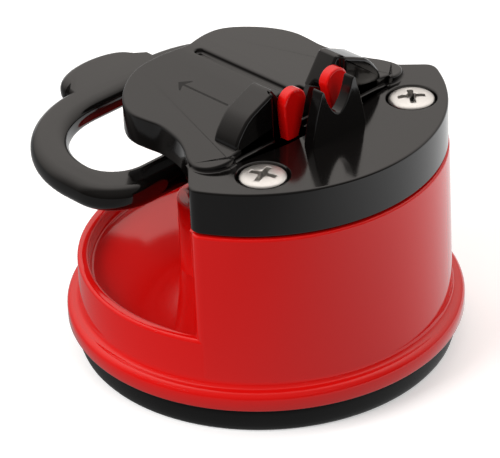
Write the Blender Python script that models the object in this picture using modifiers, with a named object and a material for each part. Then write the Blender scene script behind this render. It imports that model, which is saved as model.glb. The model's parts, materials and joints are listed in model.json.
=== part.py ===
"""Suction-base knife and edge sharpener: housing, cover, cam lever, suction cup and V cutters.

All lengths below are in millimetres. +X runs along the sharpening slot, away from the lever, and
+Z is up. Each piece is drawn about the housing's axis, and everything is then set AXIS_X along X,
so that the origin is below the middle of the whole tool, on the table.
"""
import math

import bmesh
import bpy
from mathutils import Matrix, Vector

MM = 0.001
AXIS_X = 5.0                  # the housing's axis, from the middle of the tool's length
GAP = 0.3                     # clearance between neighbouring pieces
ROUND_STEPS = 96              # facets round the large turned pieces
SMALL_STEPS = 32              # facets round pins, screws and bosses

# Housing
FLANGE_R = 32.4
FLANGE_BOTTOM = 4.9
FLANGE_TOP = 8.0
BODY_BOTTOM_R = 30.35
BODY_TOP_R = 29.95
SHOULDER_Z = 34.5             # where the cover's skirt starts
LIP_R = 28.2
HOUSING_TOP = 38.0
INNER_R = 26.4
CUP_ROOF_Z = 11.0
RECESS_FLOOR = 13.0
RIM_TOP = 15.8
RIM_INNER_R = 28.3
ROOM_FLOOR = 15.0
END_WALL = 2.2
END_WALL_DISTANCE = 11.0      # from the axis to each slanted end wall
END_WALL_ANGLE = math.radians(46.5)
TOWER_BACK = -9.9
TOWER_FRONT = 9.5
TOWER_HALF = 12.0
TOWER_TOP = 26.2
TOWER_BORE_R = 9.0
TOWER_BORE_TOP = 23.0
STEM_HOLE_R = 3.6
LEVER_GATE_HALF = 14.4

# Cover
COVER_BOTTOM = HOUSING_TOP + GAP
COVER_TOP = 42.33
COVER_R = 29.8
SKIRT_INNER_R = 28.5
SKIRT_BOTTOM = SHOULDER_Z + GAP
RIDGE_RISE = 4.2              # guard's ridge above the cover's flat top
ROOF_SLOPE = 0.16             # fall of the guard's top per millimetre of half width
HORN_BACK = 6.4
HORN_FRONT = 11.5
HORN_TIP_RISE = 8.25
FRONT_GUIDE_BACK = 15.8
FRONT_GUIDE_FRONT = 17.8
FRONT_GUIDE_RISE = 9.0

# Cover screws
SCREW_RADIUS_POS = 24.0
SCREW_ANGLE = math.radians(43.0)
SCREW_HEAD_R = 3.7
SCREW_SHANK_R = 1.9
SCREW_END = 24.5

# Suction cup, stem and spring
CUP_R = 31.0
STEM_R = 3.2
STEM_BOTTOM = 8.6
FOOT_R = 8.0
FOOT_BOTTOM = 9.6
FOOT_TOP = 10.8
EYE_HALF_X = 2.5
EYE_HALF_Y = 2.4
EYE_TOP = 34.4
WASHER_THICK = 0.6
SPRING_R = 5.8
SPRING_WIRE_R = 0.45
SPRING_TURNS = 5

# Lever
PIN_Z = 31.5
PIN_R = 1.5
PIN_HALF = 9.0
CAM_R = 6.7
CAM_OFFSET = 3.7
CAM_PHASE = math.radians(167.5)
CHEEK_INNER = 3.4
CHEEK_OUTER = 7.4
LEVER_BOTTOM = 30.1
LEVER_TOP = 34.5
RING_BACK = -36.0
RING_FRONT = -3.8
RING_HALF = 28.6
TAB_REACH = 6.4
TAB_HALF = 8.4
CAM_PLATE_TOP = 25.3
CAM_PLATE_BOTTOM = 24.3

# Cutters
BLADE_LEAN = math.radians(27.5)
BLADE_BELOW = 3.3               # reach of a cutter below and above the middle of its crossing
BLADE_ABOVE = 5.4
BLADE_WIDTH = 3.0
BLADE_THICK = 0.9
BLADE_SLOT_BACK = 7.9
BLADE_CROSSING_RISE = 3.2
HOLDER_BACK = 11.1
HOLDER_FRONT = 13.0
HOLDER_RISE = 8.1
RETAINER_TOP = COVER_BOTTOM - GAP
RETAINER_BOTTOM = 36.2

PLAN = Matrix.Identity(3)
ACROSS = Matrix(((0, 0, 1), (1, 0, 0), (0, 1, 0)))     # drawn in YZ, thick along X
SIDEWAYS = Matrix(((1, 0, 0), (0, 0, -1), (0, 1, 0)))  # drawn in XZ, thick along -Y

for existing in list(bpy.data.objects):
    bpy.data.objects.remove(existing, do_unlink=True)


def new_collection(name):
    collection = bpy.data.collections.new(name)
    bpy.context.scene.collection.children.link(collection)
    return collection


PARTS = new_collection("suction_sharpener")
CUTTERS = new_collection("cutters")


def plastic(name, color, roughness, metallic=0.0):
    material = bpy.data.materials.new(name)
    material.use_nodes = True
    shader = material.node_tree.nodes["Principled BSDF"]
    shader.inputs["Base Color"].default_value = (*color, 1.0)
    shader.inputs["Roughness"].default_value = roughness
    shader.inputs["Metallic"].default_value = metallic
    return material


RED = plastic("red_plastic", (0.62, 0.02, 0.015), 0.22)
BLACK = plastic("black_plastic", (0.012, 0.012, 0.013), 0.2)
RUBBER = plastic("black_rubber", (0.02, 0.02, 0.02), 0.6)
STEEL = plastic("plated_steel", (0.72, 0.72, 0.7), 0.25, 1.0)
CARBIDE = plastic("tungsten_carbide", (0.2, 0.2, 0.21), 0.35, 1.0)


def add_object(name, mesh, collection=PARTS, material=None):
    obj = bpy.data.objects.new(name, mesh)
    collection.objects.link(obj)
    if material is not None:
        mesh.materials.append(material)
    if collection is CUTTERS:
        obj.hide_render = True
        obj.display_type = "WIRE"
    return obj


def slab(name, outline, low, high, plane=PLAN, collection=CUTTERS, material=None):
    """A flat outline given thickness from low to high along the plane's normal."""
    curve = bpy.data.curves.new(name + "_outline", "CURVE")
    curve.dimensions = "2D"
    curve.fill_mode = "BOTH"
    curve.extrude = (high - low) / 2 * MM
    spline = curve.splines.new("POLY")
    spline.points.add(len(outline) - 1)
    for point, (x, y) in zip(spline.points, outline):
        point.co = (x * MM, y * MM, 0.0, 1.0)
    spline.use_cyclic_u = True
    guide = bpy.data.objects.new(name + "_outline", curve)
    PARTS.objects.link(guide)
    guide.matrix_world = plane.to_4x4() @ Matrix.Translation((0, 0, (high + low) / 2 * MM))
    bpy.context.view_layer.update()
    evaluated = guide.evaluated_get(bpy.context.evaluated_depsgraph_get())
    mesh = bpy.data.meshes.new_from_object(evaluated)
    mesh.name = name
    shape = bmesh.new()
    shape.from_mesh(mesh)
    bmesh.ops.remove_doubles(shape, verts=shape.verts, dist=1e-6)
    bmesh.ops.recalc_face_normals(shape, faces=shape.faces)
    shape.to_mesh(mesh)
    shape.free()
    obj = add_object(name, mesh, collection, material)
    obj.matrix_world = guide.matrix_world.copy()
    bpy.data.objects.remove(guide, do_unlink=True)
    return obj


def turned(name, profile, steps=ROUND_STEPS, collection=PARTS, material=None, centre=(0, 0)):
    """A profile of (radius, height) points, top to bottom on its outer side, turned about Z."""
    mesh = bpy.data.meshes.new(name)
    vertices = [(r * MM, 0.0, z * MM) for r, z in profile]
    edges = [(i, i + 1) for i in range(len(profile) - 1)]
    if profile[0][0] > 0:
        edges.append((len(profile) - 1, 0))
    mesh.from_pydata(vertices, edges, [])
    obj = add_object(name, mesh, collection, material)
    obj.location = (centre[0] * MM, centre[1] * MM, 0.0)
    screw = obj.modifiers.new("Turn", "SCREW")
    screw.steps = steps
    screw.render_steps = steps
    screw.use_merge_vertices = True
    screw.merge_threshold = 0.000001
    screw.use_smooth_shade = True
    return obj


def drum(name, radius, low, high, steps=SMALL_STEPS, centre=(0, 0), collection=CUTTERS):
    return turned(name, [(0, high), (radius, high), (radius, low), (0, low)], steps, collection,
                  centre=centre)


def box(name, low, high, collection=CUTTERS, material=None):
    outline = [(low[0], low[1]), (high[0], low[1]), (high[0], high[1]), (low[0], high[1])]
    return slab(name, outline, low[2], high[2], PLAN, collection, material)


def combine(target, other, operation):
    modifier = target.modifiers.new(operation.title(), "BOOLEAN")
    modifier.operation = operation
    modifier.object = other
    modifier.solver = "EXACT"


def cut(target, *others):
    for other in others:
        combine(target, other, "DIFFERENCE")


def join(target, *others):
    for other in others:
        combine(target, other, "UNION")


def keep_inside(target, other):
    combine(target, other, "INTERSECT")


def rounded(corners, segments=6):
    """A polygon of (x, y, radius) corners with each corner turned into an arc."""
    outline = []
    count = len(corners)
    for index, (x, y, radius) in enumerate(corners):
        if radius <= 0:
            outline.append((x, y))
            continue
        here = Vector((x, y))
        before = Vector(corners[index - 1][:2]) - here
        after = Vector(corners[(index + 1) % count][:2]) - here
        before.normalize()
        after.normalize()
        half = before.angle(after) / 2
        reach = radius / math.tan(half)
        middle = here + (before + after).normalized() * (radius / math.sin(half))
        start = here + before * reach - middle
        end = here + after * reach - middle
        sweep = start.angle_signed(end)
        for step in range(segments + 1):
            turn = Matrix.Rotation(-sweep * step / segments, 2)
            outline.append(tuple(middle + turn @ start))
    return outline


def mirrored(half):
    """A half outline at y <= 0, closed with its mirror image at y > 0."""
    other = [(x, -y) for x, y in reversed(half) if abs(y) > 1e-9]
    return half + other


def mirrored_corners(half):
    other = [(x, -y, radius) for x, y, radius in reversed(half) if abs(y) > 1e-9]
    return half + other


def end_wall_x(y, distance):
    """Where a slanted end wall, at this distance from the axis, crosses the line y <= 0."""
    return (-distance - y * math.sin(END_WALL_ANGLE)) / math.cos(END_WALL_ANGLE)


def front_plan(distance, half):
    """Plan of everything in front of the two slanted walls, from the gate of this half width."""
    far = -45.0
    return mirrored([(end_wall_x(-half, distance), -half), (end_wall_x(far, distance), far),
                     (60.0, far)])


def screw_place(side):
    x = SCREW_RADIUS_POS * math.cos(SCREW_ANGLE)
    y = SCREW_RADIUS_POS * math.sin(SCREW_ANGLE) * side
    return x, y


def arc_points(centre, radius, start, end, count):
    points = []
    for step in range(count + 1):
        angle = math.radians(start + (end - start) * step / count)
        points.append((centre[0] + radius * math.cos(angle), centre[1] + radius * math.sin(angle)))
    return points


# ---------------------------------------------------------------- housing

def tower_plan(grow=0.0):
    back = TOWER_BACK - grow
    half = TOWER_HALF + grow
    return rounded(mirrored_corners([(back, -half, 4.5), (TOWER_FRONT, -half, 0)]))


def make_housing():
    profile = [(0, HOUSING_TOP), (LIP_R, HOUSING_TOP), (LIP_R, SHOULDER_Z),
               (BODY_TOP_R, SHOULDER_Z), (BODY_BOTTOM_R, FLANGE_TOP + 0.3),
               (BODY_BOTTOM_R + 0.3, FLANGE_TOP)]
    profile += arc_points((FLANGE_R - 1.3, FLANGE_TOP - 1.3), 1.3, 90, 0, 5)
    profile += [(FLANGE_R, FLANGE_BOTTOM), (FLANGE_R - 2.4, FLANGE_BOTTOM), (29.2, 6.8),
                (27.6, 9.6), (25.6, 10.7), (23.0, CUP_ROOF_Z), (0, CUP_ROOF_Z)]
    housing = turned("housing", profile, material=RED)

    keep = slab("recess_keep", front_plan(END_WALL_DISTANCE, TOWER_HALF - 3), 0, 60)
    tower_keep = slab("tower_keep", tower_plan(), -1, 61)
    recess = turned("recess_cut", [(0, 50), (40, 50), (40, RIM_TOP), (RIM_INNER_R, RIM_TOP),
                                   (RIM_INNER_R, RECESS_FLOOR), (0, RECESS_FLOOR)],
                    ROUND_STEPS, CUTTERS)
    cut(recess, keep, tower_keep)

    room = drum("room_cut", INNER_R, ROOM_FLOOR, 51, ROUND_STEPS)
    room_keep = slab("room_keep", front_plan(END_WALL_DISTANCE - END_WALL, TOWER_HALF - 3), 2, 62)
    keep_inside(room, room_keep)
    cut(room, tower_keep)
    for side, label in ((-1, "left"), (1, "right")):
        cut(room, drum("boss_keep_" + label, 3.9, 3, 63, centre=screw_place(side)))
    gate = box("gate_cut", (-33, -LEVER_GATE_HALF, TOWER_TOP), (TOWER_FRONT + 1, LEVER_GATE_HALF, 52))
    cut(housing, recess, room, gate)
    for side, label in ((-1, "left"), (1, "right")):
        cut(housing, drum("boss_hole_" + label, SCREW_SHANK_R + GAP, SCREW_END - 1.5, 53,
                          centre=screw_place(side)))
    cut(housing, drum("tower_bore", TOWER_BORE_R, 5, TOWER_BORE_TOP, 48),
        drum("stem_hole", STEM_HOLE_R, 20, 30),
        box("seat_pocket", (-8.6, -8.6, CAM_PLATE_BOTTOM - GAP), (5.6, 8.6, 30)))
    return housing


# ---------------------------------------------------------------- cover with guard and horns

def guard_plan(shrink=1.0):
    half = [(-16.2, 0), (-16.9, -2.6), (-17.6, -5.0), (-18.1, -7.8), (-17.8, -10.4),
            (-16.6, -13.0), (-14.6, -15.6), (-12.0, -17.5), (-9.4, -18.3), (-6.6, -18.2),
            (-3.6, -17.9), (-0.6, -18.3), (2.0, -19.0), (4.4, -20.2), (6.4, -21.5),
            (8.6, -22.2), (10.4, -21.8), (11.7, -20.5), (12.5, -18.4), (12.1, -16.4),
            (HORN_FRONT, -15.0), (HORN_FRONT, 0)]
    return mirrored([(x * shrink, y * shrink) for x, y in half])


def roof_profile():
    half = 30.0
    edge = COVER_TOP + RIDGE_RISE - ROOF_SLOPE * half
    return [(-half, COVER_BOTTOM), (half, COVER_BOTTOM), (half, edge),
            (0, COVER_TOP + RIDGE_RISE), (-half, edge)]


def horn_profile(side):
    """One horn in the YZ plane: an arched outer flank, a rounded tip and the V's inner flank."""
    base = COVER_BOTTOM + 1
    points = [(16.0, base), (16.0, COVER_TOP + 1.3), (15.3, COVER_TOP + 3.3),
              (13.5, COVER_TOP + 5.5), (12.4, COVER_TOP + 6.3), (8.6, COVER_TOP + 7.9),
              (7.3, COVER_TOP + HORN_TIP_RISE), (6.9, COVER_TOP + HORN_TIP_RISE - 0.2),
              (2.6, COVER_TOP + 2.1), (2.6, base)]
    return [(side * y, z) for y, z in points]


def front_guide_profile():
    top = COVER_TOP + FRONT_GUIDE_RISE
    half = [(5.9, COVER_BOTTOM + 1), (5.8, COVER_TOP + 0.4), (5.4, COVER_TOP + 2.3),
            (5.1, COVER_TOP + 3.8), (4.75, COVER_TOP + 5.2), (4.4, COVER_TOP + 6.4),
            (3.95, top - 1.4), (3.65, top - 0.4), (3.35, top), (3.1, top - 0.5),
            (1.9, COVER_TOP + 5.7), (1.0, COVER_TOP + 4.5), (0.3, COVER_TOP + 4.0)]
    return half + [(-y, z) for y, z in reversed(half)]


def make_cover():
    cover = drum("top_cover", COVER_R, SKIRT_BOTTOM, COVER_TOP, ROUND_STEPS, collection=PARTS)
    cover.data.materials.append(BLACK)
    keep_inside(cover, slab("cover_plan", front_plan(END_WALL_DISTANCE, TOWER_HALF), 0, 60))
    cut(cover, drum("skirt_cut", SKIRT_INNER_R, 30, COVER_BOTTOM, ROUND_STEPS))

    guard = slab("guard_block", guard_plan(), COVER_BOTTOM, COVER_TOP + 8)
    keep_inside(guard, slab("guard_roof", roof_profile(), -30, 30, ACROSS))
    cut(guard, slab("guard_hollow", guard_plan(0.9), 30, COVER_TOP - 1.6))
    join(cover, guard)
    channel = box("horn_channel", (HORN_BACK, -2.7, COVER_TOP + 1.2), (30, 2.7, 60))
    cut(cover, channel)
    for side, label in ((-1, "left"), (1, "right")):
        horn = slab("horn_" + label, horn_profile(side), HORN_BACK, HORN_FRONT, ACROSS)
        join(cover, horn)
    join(cover, slab("front_guide", front_guide_profile(), FRONT_GUIDE_BACK, FRONT_GUIDE_FRONT,
                     ACROSS))

    cut(cover, box("edge_groove", (-14.0, -0.65, COVER_TOP + RIDGE_RISE - 0.9),
                   (HORN_BACK + 1, 0.65, 60)))
    cut(cover, box("blade_slot", (BLADE_SLOT_BACK, -4.3, 30),
                   (BLADE_SLOT_BACK + 2 * (BLADE_THICK + GAP) + GAP, 4.3, COVER_TOP + 6.0)))
    for side, label in ((-1, "left"), (1, "right")):
        near, far = sorted((side * 1.9, side * 7.7))
        cut(cover, box("holder_pocket_" + label, (HOLDER_BACK - 2 * GAP, near, 30),
                       (HOLDER_FRONT + GAP, far, 60)))
        place = screw_place(side)
        sink = turned("countersink_" + label,
                      [(0, 50), (SCREW_HEAD_R + GAP, 50), (SCREW_HEAD_R + GAP, COVER_TOP - 0.5),
                       (SCREW_SHANK_R + GAP, COVER_TOP - 2.4), (SCREW_SHANK_R + GAP, 30), (0, 30)],
                      SMALL_STEPS, CUTTERS, centre=place)
        cut(cover, sink)
        cut(cover, drum("retainer_tap_" + label, 1.1 + GAP, 30, 41.2, 24,
                        centre=retainer_place(side)))
    return cover


# ---------------------------------------------------------------- screws

def make_screw(name, place, head_top, head_r, head_depth, shank_r, end, recess):
    """A countersunk cross-head screw, its head up."""
    low = head_top - head_depth
    screw = turned(name, [(0, head_top + 0.25), (head_r * 0.55, head_top + 0.2),
                          (head_r * 0.9, head_top), (head_r, head_top - 0.3),
                          (shank_r, low), (shank_r, end + 1.6), (0, end)],
                   SMALL_STEPS, material=STEEL, centre=place)
    for index in range(2):
        arm = box(name + "_recess_%d" % index, (-recess, -recess * 0.22, head_top - 1.1),
                  (recess, recess * 0.22, head_top + 2))
        arm.matrix_world = (Matrix.Translation((place[0] * MM, place[1] * MM, 0))
                            @ Matrix.Rotation(math.radians(45 + 90 * index), 4, "Z")
                            @ arm.matrix_world)
        cut(screw, arm)
    return screw


def retainer_place(side):
    return 14.4, side * 9.6


def make_retainer_screw(name, side):
    low = RETAINER_BOTTOM - GAP - 1.3
    place = retainer_place(side)
    screw = turned(name, [(0, 40.9), (0.5, 40.9), (1.1, 40.1), (1.1, RETAINER_BOTTOM - GAP),
                          (2.1, RETAINER_BOTTOM - GAP), (2.1, low + 0.5), (1.6, low), (0, low)],
                   24, material=STEEL, centre=place)
    for index in range(2):
        arm = box(name + "_recess_%d" % index, (-1.1, -0.25, low - 1), (1.1, 0.25, low + 0.7))
        arm.matrix_world = (Matrix.Translation((place[0] * MM, place[1] * MM, 0))
                            @ Matrix.Rotation(math.radians(90 * index), 4, "Z")
                            @ arm.matrix_world)
        cut(screw, arm)
    return screw


# ---------------------------------------------------------------- suction cup, stem and spring

def make_cup():
    profile = [(0, 8.3), (8.8, 8.3), (9.8, 7.4), (14.0, 6.6), (22.0, 5.4), (27.5, 4.6),
               (CUP_R - 0.5, 4.6), (CUP_R, 4.1), (CUP_R, 2.2), (CUP_R - 0.2, 0.7),
               (CUP_R - 0.9, 0), (28.4, 0), (27.4, 0.5), (22.0, 1.9), (14.0, 3.3), (7.0, 4.2),
               (0, 4.5)]
    return turned("suction_cup", profile, material=RUBBER)


def make_stem():
    stem = turned("stem", [(0, 28.1), (STEM_R, 28.1), (STEM_R, FOOT_BOTTOM - GAP),
                           (STEM_R + 1.6, FOOT_BOTTOM - GAP), (STEM_R + 1.6, STEM_BOTTOM),
                           (0, STEM_BOTTOM)], 40, material=STEEL)
    eye = slab("stem_eye", rounded([(-EYE_HALF_X, 27.6, 0), (EYE_HALF_X, 27.6, 0),
                                    (EYE_HALF_X, EYE_TOP, 2.4), (-EYE_HALF_X, EYE_TOP, 2.4)]),
               -EYE_HALF_Y, EYE_HALF_Y, SIDEWAYS)
    join(stem, eye)
    cut(stem, pin_bore("stem_pin_hole", PIN_R + 0.2, EYE_HALF_Y + 2))
    return stem


def make_foot():
    """The plate on the stem's shoulder that carries the cup's centre and the spring."""
    return turned("cup_foot", [(FOOT_R, FOOT_TOP), (FOOT_R, FOOT_BOTTOM),
                               (STEM_R + GAP, FOOT_BOTTOM), (STEM_R + GAP, FOOT_TOP)],
                  40, material=STEEL)


def make_washer():
    high = TOWER_BORE_TOP - GAP
    return turned("spring_washer", [(FOOT_R, high), (FOOT_R, high - WASHER_THICK),
                                    (STEM_R + 0.5, high - WASHER_THICK), (STEM_R + 0.5, high)],
                  40, material=STEEL)


def pin_bore(name, radius, half):
    outline = arc_points((0, PIN_Z), radius, 0, 360 - 360 / 28, 27)
    return slab(name, outline, -half, half, SIDEWAYS)


def make_spring():
    curve = bpy.data.curves.new("return_spring", "CURVE")
    curve.dimensions = "3D"
    curve.bevel_depth = SPRING_WIRE_R * MM
    curve.bevel_resolution = 2
    curve.use_fill_caps = True
    low = FOOT_TOP + GAP + SPRING_WIRE_R
    high = TOWER_BORE_TOP - 2 * GAP - WASHER_THICK - SPRING_WIRE_R
    per_turn = 20
    count = SPRING_TURNS * per_turn + 1
    spline = curve.splines.new("POLY")
    spline.points.add(count - 1)
    for index, point in enumerate(spline.points):
        turn = index / per_turn
        share = min(max((turn - 0.8) / (SPRING_TURNS - 1.6), 0), 1)
        angle = turn * math.tau
        point.co = (SPRING_R * math.cos(angle) * MM, SPRING_R * math.sin(angle) * MM,
                    (low + (high - low) * share + 0.16 * (turn - SPRING_TURNS * share)) * MM, 1)
    guide = bpy.data.objects.new("return_spring_path", curve)
    PARTS.objects.link(guide)
    bpy.context.view_layer.update()
    evaluated = guide.evaluated_get(bpy.context.evaluated_depsgraph_get())
    mesh = bpy.data.meshes.new_from_object(evaluated)
    mesh.name = "return_spring"
    shape = bmesh.new()
    shape.from_mesh(mesh)
    bmesh.ops.remove_doubles(shape, verts=shape.verts, dist=1e-6)
    bmesh.ops.recalc_face_normals(shape, faces=shape.faces)
    shape.to_mesh(mesh)
    shape.free()
    bpy.data.objects.remove(guide, do_unlink=True)
    return add_object("return_spring", mesh, material=STEEL)


# ---------------------------------------------------------------- lever

def ring_plan():
    """Half of the ring's outline from the middle of the thumb tab round to the front bar."""
    half = []
    for step in range(9):
        angle = math.radians(90 * step / 8)
        half.append((RING_BACK - TAB_REACH * math.cos(angle) ** 0.7, -TAB_HALF * math.sin(angle)))
    half += arc_points((-15.0, 21.0 - RING_HALF), 21.0, 180, 270, 14)
    half += arc_points((RING_FRONT - 8.0, 8.4 - RING_HALF), 8.4, 270, 360, 9)
    half += [(RING_FRONT + 0.4, -10.0), (RING_FRONT, -8.6), (RING_FRONT, 0)]
    return mirrored(half)


def ring_hole_plan():
    return rounded(mirrored_corners([(-29.6, -22.5, 14.5), (-9.9, -22.5, 5.2)]), 8)


def cheek_profile():
    centre = (CAM_OFFSET * math.cos(CAM_PHASE), PIN_Z + CAM_OFFSET * math.sin(CAM_PHASE))
    lower = arc_points(centre, CAM_R, 165, 375, 24)
    points = [(x, z) for x, z in lower if z < LEVER_TOP - 0.6]
    return points + [(points[-1][0], LEVER_TOP), (-8.2, LEVER_TOP)]


def make_lever():
    lever = slab("lever", ring_plan(), LEVER_BOTTOM, LEVER_TOP, collection=PARTS, material=BLACK)
    cut(lever, slab("ring_hole", ring_hole_plan(), 20, 50))
    for side, label in ((-1, "left"), (1, "right")):
        near, far = sorted((side * CHEEK_INNER, side * CHEEK_OUTER))
        cheek = slab("cheek_" + label, cheek_profile(), -far, -near, SIDEWAYS)
        join(lever, cheek)
    cut(lever, pin_bore("lever_pin_hole", PIN_R + 0.15, CHEEK_OUTER + 3))
    return lever


def make_pin():
    head = [(0, PIN_HALF + 0.9), (2.0, PIN_HALF + 0.9), (2.4, PIN_HALF + 0.5),
            (2.4, CHEEK_OUTER + GAP), (PIN_R, CHEEK_OUTER + GAP), (PIN_R, 1 - PIN_HALF - 0.6),
            (PIN_R - 0.4, -PIN_HALF - 0.1), (0, -PIN_HALF - 0.1)]
    pin = turned("lever_pin", head, 28, material=STEEL)
    pin.matrix_world = (Matrix.Translation((0, 0, PIN_Z * MM))
                        @ Matrix.Rotation(math.radians(90), 4, "X"))
    groove = turned("clip_groove", [(4, -CHEEK_OUTER - GAP), (4, -CHEEK_OUTER - GAP - 1.0),
                                    (1.05, -CHEEK_OUTER - GAP - 1.0), (1.05, -CHEEK_OUTER - GAP)],
                    28, CUTTERS)
    groove.matrix_world = pin.matrix_world.copy()
    cut(pin, groove)
    return pin


def make_clip():
    outer = arc_points((0, PIN_Z), 2.7, -55, 235, 22)
    inner = arc_points((0, PIN_Z), 1.3, 235, -55, 22)
    clip_low = CHEEK_OUTER + GAP + 0.2
    return slab("pin_clip", outer + inner, -clip_low - 0.6, -clip_low, SIDEWAYS, PARTS, STEEL)


# ---------------------------------------------------------------- cutters and their holders

def make_blade(name, side, back):
    """A carbide bar that leans across the slot, its upper end on the given side."""
    blade = box(name, (back, -BLADE_WIDTH / 2, -BLADE_BELOW),
                (back + BLADE_THICK, BLADE_WIDTH / 2, BLADE_ABOVE), PARTS, CARBIDE)
    crossing = COVER_TOP + BLADE_CROSSING_RISE
    # the bar's upper face, and not its middle, passes the crossing
    sink = BLADE_WIDTH / 2 / math.sin(BLADE_LEAN)
    blade.matrix_world = (Matrix.Translation((0, 0, (crossing - sink) * MM))
                          @ Matrix.Rotation(-side * BLADE_LEAN, 4, "X")
                          @ blade.matrix_world)
    return blade


def make_holder(name, side):
    """A red post with a rounded top that clamps a cutter from the front."""
    top = COVER_TOP + HOLDER_RISE
    points = [(4.2, RETAINER_TOP + 1.0), (4.0, COVER_TOP), (3.3, COVER_TOP + 2.0),
              (2.8, COVER_TOP + 3.6)]
    points += arc_points((4.55, top - 2.35), 2.35, 178, 2, 12)
    points += [(6.8, COVER_TOP + 3.7), (6.6, COVER_TOP + 1.2), (6.4, COVER_TOP - 0.3),
               (6.4, RETAINER_TOP + 1.0)]
    outline = [(side * y, z) for y, z in points]
    holder = slab(name, outline, HOLDER_BACK, HOLDER_FRONT, ACROSS, PARTS, RED)
    foot_near, foot_far = sorted((side * 2.4, side * 7.2))
    join(holder, box(name + "_foot", (HOLDER_BACK, foot_near, RETAINER_TOP + GAP + 0.1),
                     (HOLDER_FRONT, foot_far, RETAINER_TOP + 1.6)))
    return holder


def make_retainer():
    outline = rounded(mirrored_corners([(6.4, -7.0, 1.5), (11.4, -7.0, 0), (11.4, -12.4, 1.5),
                                        (17.4, -12.4, 1.5)]), 4)
    retainer = slab("blade_retainer", outline, RETAINER_BOTTOM, RETAINER_TOP, PLAN, PARTS, BLACK)
    for side, label in ((-1, "left"), (1, "right")):
        cut(retainer, drum("retainer_hole_" + label, 1.1 + GAP, 30, 45, 24,
                           centre=retainer_place(side)))
    return retainer


def make_cam_plate():
    plate = box("cam_plate", (-8.2, -8.2, CAM_PLATE_BOTTOM), (5.2, 8.2, CAM_PLATE_TOP - 0.05),
                PARTS, STEEL)
    cut(plate, drum("cam_plate_hole", STEM_HOLE_R, 20, 30))
    return plate


make_housing()
make_cover()
for screw_side, screw_label in ((-1, "left"), (1, "right")):
    make_screw("cover_screw_" + screw_label, screw_place(screw_side), COVER_TOP, SCREW_HEAD_R,
               2.2, SCREW_SHANK_R, SCREW_END, 2.1)
    make_retainer_screw("retainer_screw_" + screw_label, screw_side)
make_cup()
make_stem()
make_foot()
make_washer()
make_spring()
make_cam_plate()
make_lever()
make_pin()
make_clip()
make_blade("carbide_blade_left", -1, BLADE_SLOT_BACK + GAP)
make_blade("carbide_blade_right", 1, BLADE_SLOT_BACK + 2 * GAP + BLADE_THICK)
make_holder("blade_holder_left", -1)
make_holder("blade_holder_right", 1)
make_retainer()
bpy.context.view_layer.update()

for collection in (PARTS, CUTTERS):
    for piece in collection.objects:
        piece.location.x += AXIS_X * MM
bpy.context.view_layer.update()


def hang_on(name, height, members):
    """An empty on a joint's axis that carries the pieces that move about it."""
    pivot = bpy.data.objects.new(name, None)
    pivot.location = (AXIS_X * MM, 0.0, height * MM)
    PARTS.objects.link(pivot)
    bpy.context.view_layer.update()
    for member in members:
        piece = bpy.data.objects[member]
        piece.parent = pivot
        piece.matrix_parent_inverse = pivot.matrix_world.inverted()
    return pivot


lift_axis = hang_on("stem_lift_axis", 0.0, ("stem", "cup_foot", "return_spring"))
turn_axis = hang_on("lever_turn_axis", PIN_Z, ("lever", "lever_pin", "pin_clip"))
turn_axis.parent = lift_axis
turn_axis.matrix_parent_inverse = lift_axis.matrix_world.inverted()
bpy.context.view_layer.update()
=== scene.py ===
import json
import math

import bmesh
import bpy
from mathutils import Matrix, Vector


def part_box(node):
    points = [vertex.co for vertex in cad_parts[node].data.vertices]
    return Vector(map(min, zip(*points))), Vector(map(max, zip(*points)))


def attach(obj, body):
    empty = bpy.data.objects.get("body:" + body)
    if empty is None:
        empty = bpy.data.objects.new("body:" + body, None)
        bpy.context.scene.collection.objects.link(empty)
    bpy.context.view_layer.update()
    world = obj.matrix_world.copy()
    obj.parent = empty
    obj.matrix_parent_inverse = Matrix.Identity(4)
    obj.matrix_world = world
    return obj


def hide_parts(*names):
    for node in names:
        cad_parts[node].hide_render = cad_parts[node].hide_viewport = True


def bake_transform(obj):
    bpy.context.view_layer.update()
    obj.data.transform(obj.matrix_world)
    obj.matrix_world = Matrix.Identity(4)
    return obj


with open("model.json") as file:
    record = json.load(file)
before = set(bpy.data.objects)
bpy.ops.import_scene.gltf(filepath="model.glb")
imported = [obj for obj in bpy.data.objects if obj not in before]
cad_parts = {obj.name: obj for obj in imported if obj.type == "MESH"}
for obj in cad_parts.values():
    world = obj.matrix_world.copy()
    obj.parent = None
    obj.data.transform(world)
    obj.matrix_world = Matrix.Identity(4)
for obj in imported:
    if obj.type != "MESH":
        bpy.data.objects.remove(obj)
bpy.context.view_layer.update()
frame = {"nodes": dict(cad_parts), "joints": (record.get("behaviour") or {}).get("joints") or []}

MM = 0.001
PLAN = Matrix.Identity(4)
ACROSS = Matrix(((0, 0, 1, 0), (1, 0, 0, 0), (0, 1, 0, 0), (0, 0, 0, 1)))
SIDEWAYS = Matrix(((1, 0, 0, 0), (0, 0, -1, 0), (0, 1, 0, 0), (0, 0, 0, 1)))

# heights and radii that the fine pieces share with the solids they stand for
housing_low, housing_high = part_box("housing")
cover_low, cover_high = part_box("top_cover")
lever_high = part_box("lever")[1]
cup_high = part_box("suction_cup")[1]
JOINTS = {joint["name"]: joint for joint in frame["joints"]}
AXIS_X = JOINTS["lever_turn"]["pos_m"][0] / MM      # the housing's axis stands off the origin
FLANGE_R = housing_high.y / MM
FLANGE_BOTTOM = housing_low.z / MM
HOUSING_TOP = housing_high.z / MM
SHOULDER_Z = 34.5
BODY_BOTTOM_R = 30.35
BODY_TAPER = 0.013
BOWL_HOLE_R = 9.0                                   # the tower covers the middle of the bowl
RECESS_FLOOR = 13.0
RIM_TOP = 15.8
RIM_INNER_R = 28.3
ROOM_R = 26.4
ROOM_FLOOR = 15.0
WALL_DISTANCE = 11.0
WALL_HALF = 9.0
WALL_THICK = 2.2
WALL_ANGLE = math.radians(46.5)
TOWER_BACK = -9.9
TOWER_FRONT = 9.5
TOWER_HALF = 12.0
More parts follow.
